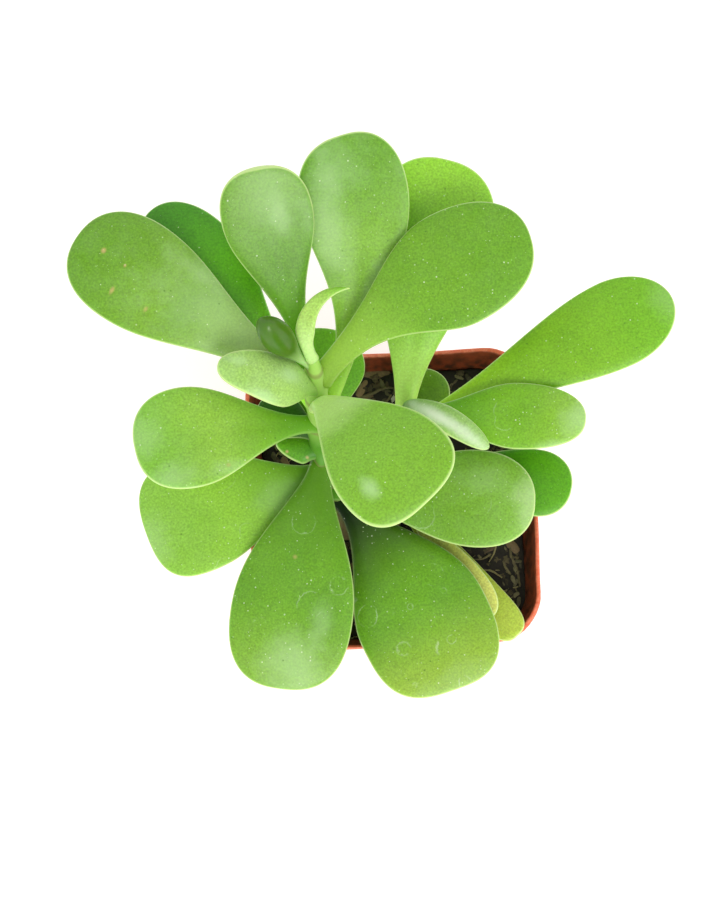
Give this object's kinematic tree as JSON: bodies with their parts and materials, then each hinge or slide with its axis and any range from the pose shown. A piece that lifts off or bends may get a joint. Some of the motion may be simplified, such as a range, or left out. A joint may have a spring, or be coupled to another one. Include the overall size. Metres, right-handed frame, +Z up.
{
  "type": "potted trailing jade succulent",
  "caption": "Fleshy spoon-leaved succulent with short leaning stems, rooted in soil in a square terracotta-coloured plastic nursery pot.",
  "frame": {"origin": "middle of the pot's flat base, on the surface it stands on", "axes": "+Z up, +Y towards the side that the stems lean to, +X to the right seen from the front; the pot's sides lie along X and Y"},
  "size_m": [0.1351, 0.1201, 0.1213],
  "materials": {
    "pot": "satin terracotta-orange plastic",
    "soil": "dark loose potting mix of peat and bark",
    "stem": "green above, pale brown and woody below",
    "leaf": "satin fleshy green with a thin waxy bloom and a pale edge",
    "leaf_young": "young fleshy leaf, pale with bloom",
    "leaf_old": "old leaf, yellowing and slightly wrinkled"
  },
  "bodies": {
    "root": {"leaf_back": "leaf", "leaf_back_left": "leaf", "leaf_behind_left": "leaf", "leaf_behind_right": "leaf", "leaf_far_right": "leaf", "leaf_front": "leaf", "leaf_front_arching": "leaf", "leaf_front_right": "leaf", "leaf_left": "leaf", "leaf_low_right": "leaf", "leaf_lower_left": "leaf", "leaf_lower_right": "leaf", "leaf_old_folded": "leaf_old", "leaf_old_yellow": "leaf_old", "leaf_right": "leaf", "leaf_shaded": "leaf", "leaf_small_arching": "leaf_young", "leaf_small_back": "leaf", "leaf_small_left": "leaf", "leaf_under_left": "leaf", "leaf_upper_left": "leaf", "leaf_upper_right": "leaf", "leaf_young_left": "leaf_young", "leaf_young_pointed": "leaf_young", "leaf_young_round": "leaf_young", "pot": "pot", "soil": "soil", "stem_main": "stem", "stem_side": "stem"}
  },
  "joints": []
}
